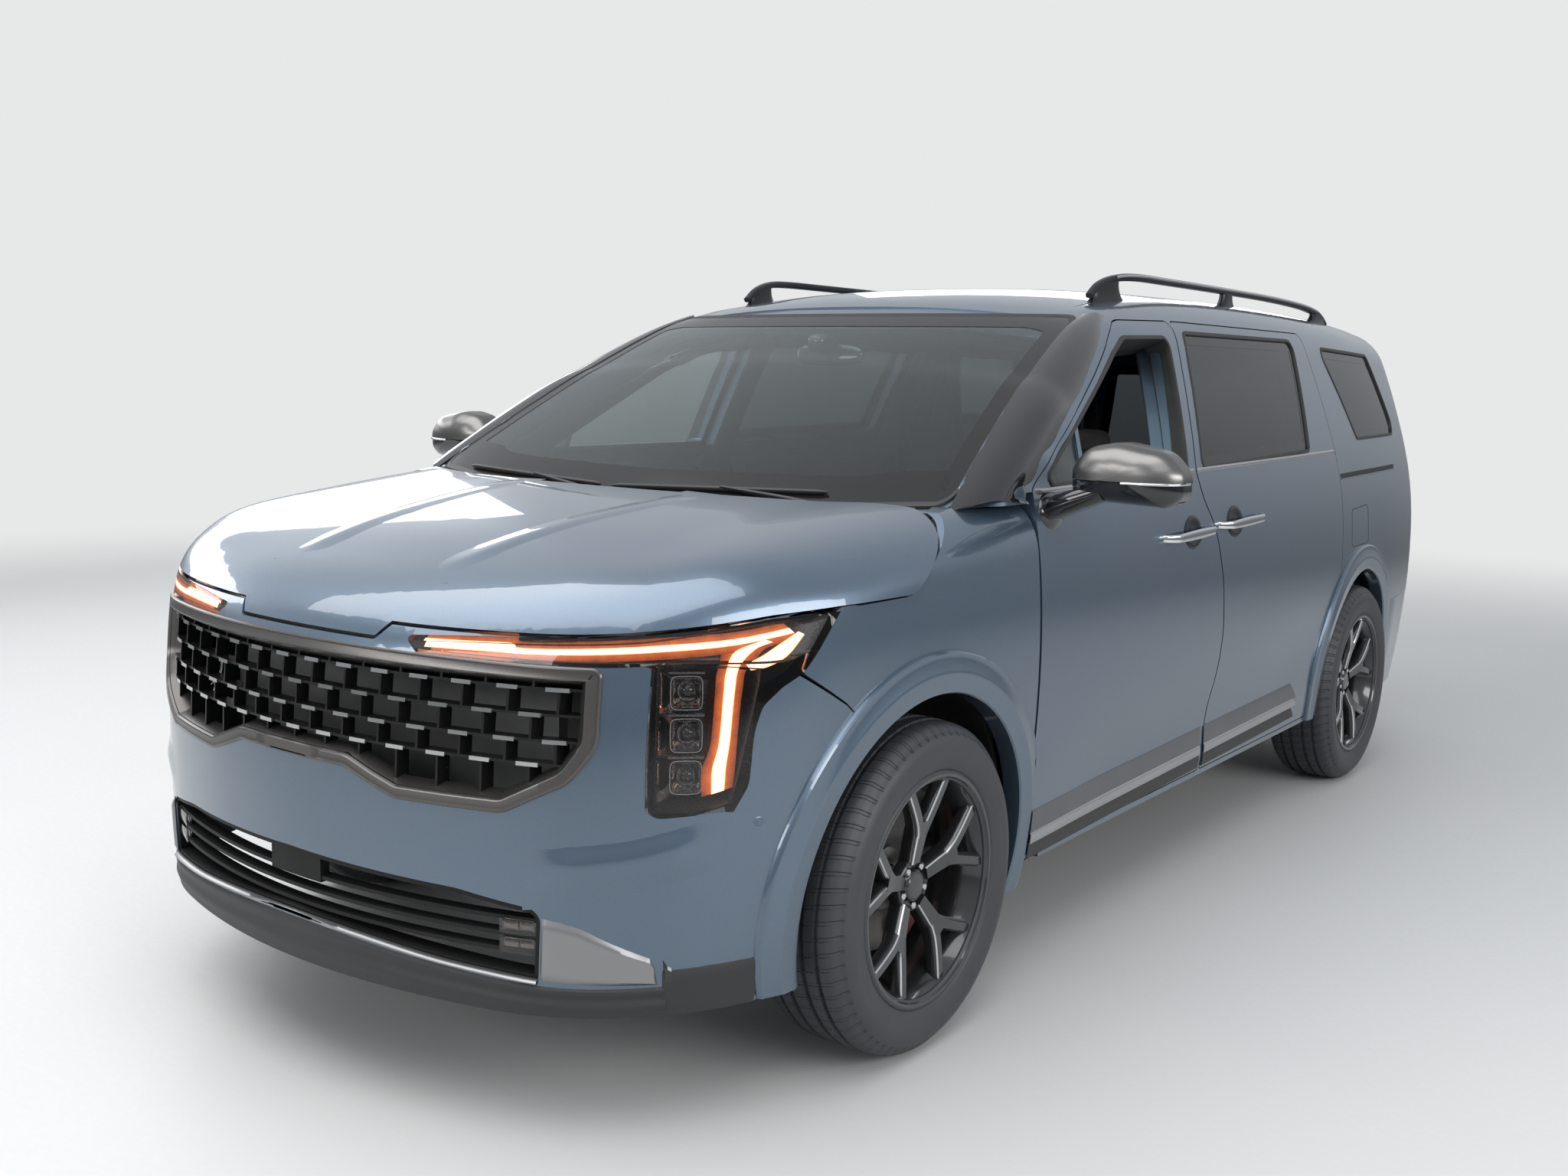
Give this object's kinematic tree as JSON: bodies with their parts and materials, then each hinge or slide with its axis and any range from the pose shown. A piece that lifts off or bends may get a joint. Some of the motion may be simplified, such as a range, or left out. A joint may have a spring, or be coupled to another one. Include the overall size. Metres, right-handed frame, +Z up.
{
  "type": "minivan",
  "caption": "Family minivan with hinged front doors, hood and liftgate, fixed sliding doors, steered front wheels, glazed cabin with three seat rows and raised roof rails.",
  "frame": {"origin": "middle of the footprint on the ground, under the bounding box's centre", "axes": "+Z up, front faces -Y, the vehicle's left is +X"},
  "size_m": [2.5646, 5.1543, 1.8019],
  "materials": {
    "paint": "gloss",
    "glass": "gloss",
    "dark_glass": "gloss",
    "lamp_lens": "gloss",
    "red_lens": "gloss",
    "black_plastic": "satin",
    "satin_metal": "satin",
    "alloy": "matte",
    "black_alloy": "gloss",
    "tyre": "matte",
    "iron": "matte",
    "steel": "matte",
    "leather": "satin"
  },
  "bodies": {
    "body": {"body_shell": "paint", "roof_panel": "paint", "windshield": "glass", "sliding_door_left": "paint", "sliding_door_right": "paint", "fender_left": "paint", "fender_right": "paint", "front_bumper": "paint", "headlamp_left": "lamp_lens", "headlamp_right": "lamp_lens", "grille": "black_plastic", "grille_dashes": "satin_metal", "lower_intake": "black_plastic", "radiator": "alloy", "arch_flares": "paint", "rear_bumper": "paint", "tail_lamps": "red_lens", "front_frame": "steel", "engine_block": "iron", "rear_axle": "steel", "floor_pan": "steel", "wheel_liners": "black_plastic", "dashboard": "black_plastic", "steering_wheel": "leather", "front_seats": "leather", "second_row_seats": "leather", "third_row_seat": "leather", "roof_rails": "satin_metal", "exhaust": "steel", "fuel_tank": "black_plastic", "wipers": "black_plastic", "side_glass": "dark_glass"},
    "hood": {"hood": "paint"},
    "door_left": {"door_front_left": "paint", "door_glass_left": "glass", "mirror_left": "black_plastic"},
    "door_right": {"door_front_right": "paint", "door_glass_right": "glass", "mirror_right": "black_plastic"},
    "liftgate": {"liftgate": "paint", "liftgate_glass": "dark_glass", "liftgate_lamp": "red_lens"},
    "knuckle_left": {"knuckle_left": "iron"},
    "knuckle_right": {"knuckle_right": "iron"},
    "wheel_front_left": {"rim_front_left": "black_alloy", "tyre_front_left": "tyre"},
    "wheel_front_right": {"rim_front_right": "black_alloy", "tyre_front_right": "tyre"},
    "wheel_rear_left": {"rim_rear_left": "black_alloy", "tyre_rear_left": "tyre"},
    "wheel_rear_right": {"rim_rear_right": "black_alloy", "tyre_rear_right": "tyre"}
  },
  "joints": [
    {"name": "hood_hinge", "type": "hinge", "parent": "body", "child": "hood", "pos_m": [0, -1.495, 1.15], "axis": [-1, 0, 0], "range_deg": [0, 55]},
    {"name": "door_left_hinge", "type": "hinge", "parent": "body", "child": "door_left", "pos_m": [0.94, -1.15, 0.7], "axis": [0, 0, -1], "range_deg": [0, 65]},
    {"name": "door_right_hinge", "type": "hinge", "parent": "body", "child": "door_right", "pos_m": [-0.94, -1.15, 0.7], "axis": [0, 0, 1], "range_deg": [0, 65]},
    {"name": "liftgate_hinge", "type": "hinge", "parent": "body", "child": "liftgate", "pos_m": [0, 2.13, 1.69361], "axis": [1, 0, 0], "range_deg": [0, 85]},
    {"name": "steer_left", "type": "hinge", "parent": "body", "child": "knuckle_left", "pos_m": [0.763, -1.6425, 0.37], "axis": [-0.1589, 0, 0.9873], "range_deg": [-35, 35]},
    {"name": "steer_right", "type": "hinge", "parent": "body", "child": "knuckle_right", "pos_m": [-0.763, -1.6425, 0.37], "axis": [0.1589, 0, 0.9873], "range_deg": [-35, 35]},
    {"name": "wheel_front_left_spin", "type": "hinge", "parent": "knuckle_left", "child": "wheel_front_left", "pos_m": [0.871, -1.6425, 0.37], "axis": [1, 0, 0], "continuous": true},
    {"name": "wheel_front_right_spin", "type": "hinge", "parent": "knuckle_right", "child": "wheel_front_right", "pos_m": [-0.871, -1.6425, 0.37], "axis": [1, 0, 0], "continuous": true},
    {"name": "wheel_rear_left_spin", "type": "hinge", "parent": "body", "child": "wheel_rear_left", "pos_m": [0.871, 1.4475, 0.37], "axis": [1, 0, 0], "continuous": true},
    {"name": "wheel_rear_right_spin", "type": "hinge", "parent": "body", "child": "wheel_rear_right", "pos_m": [-0.871, 1.4475, 0.37], "axis": [1, 0, 0], "continuous": true}
  ],
  "couplings": [
    {"joint": "steer_right", "follows": "steer_left", "ratio": 1}
  ]
}
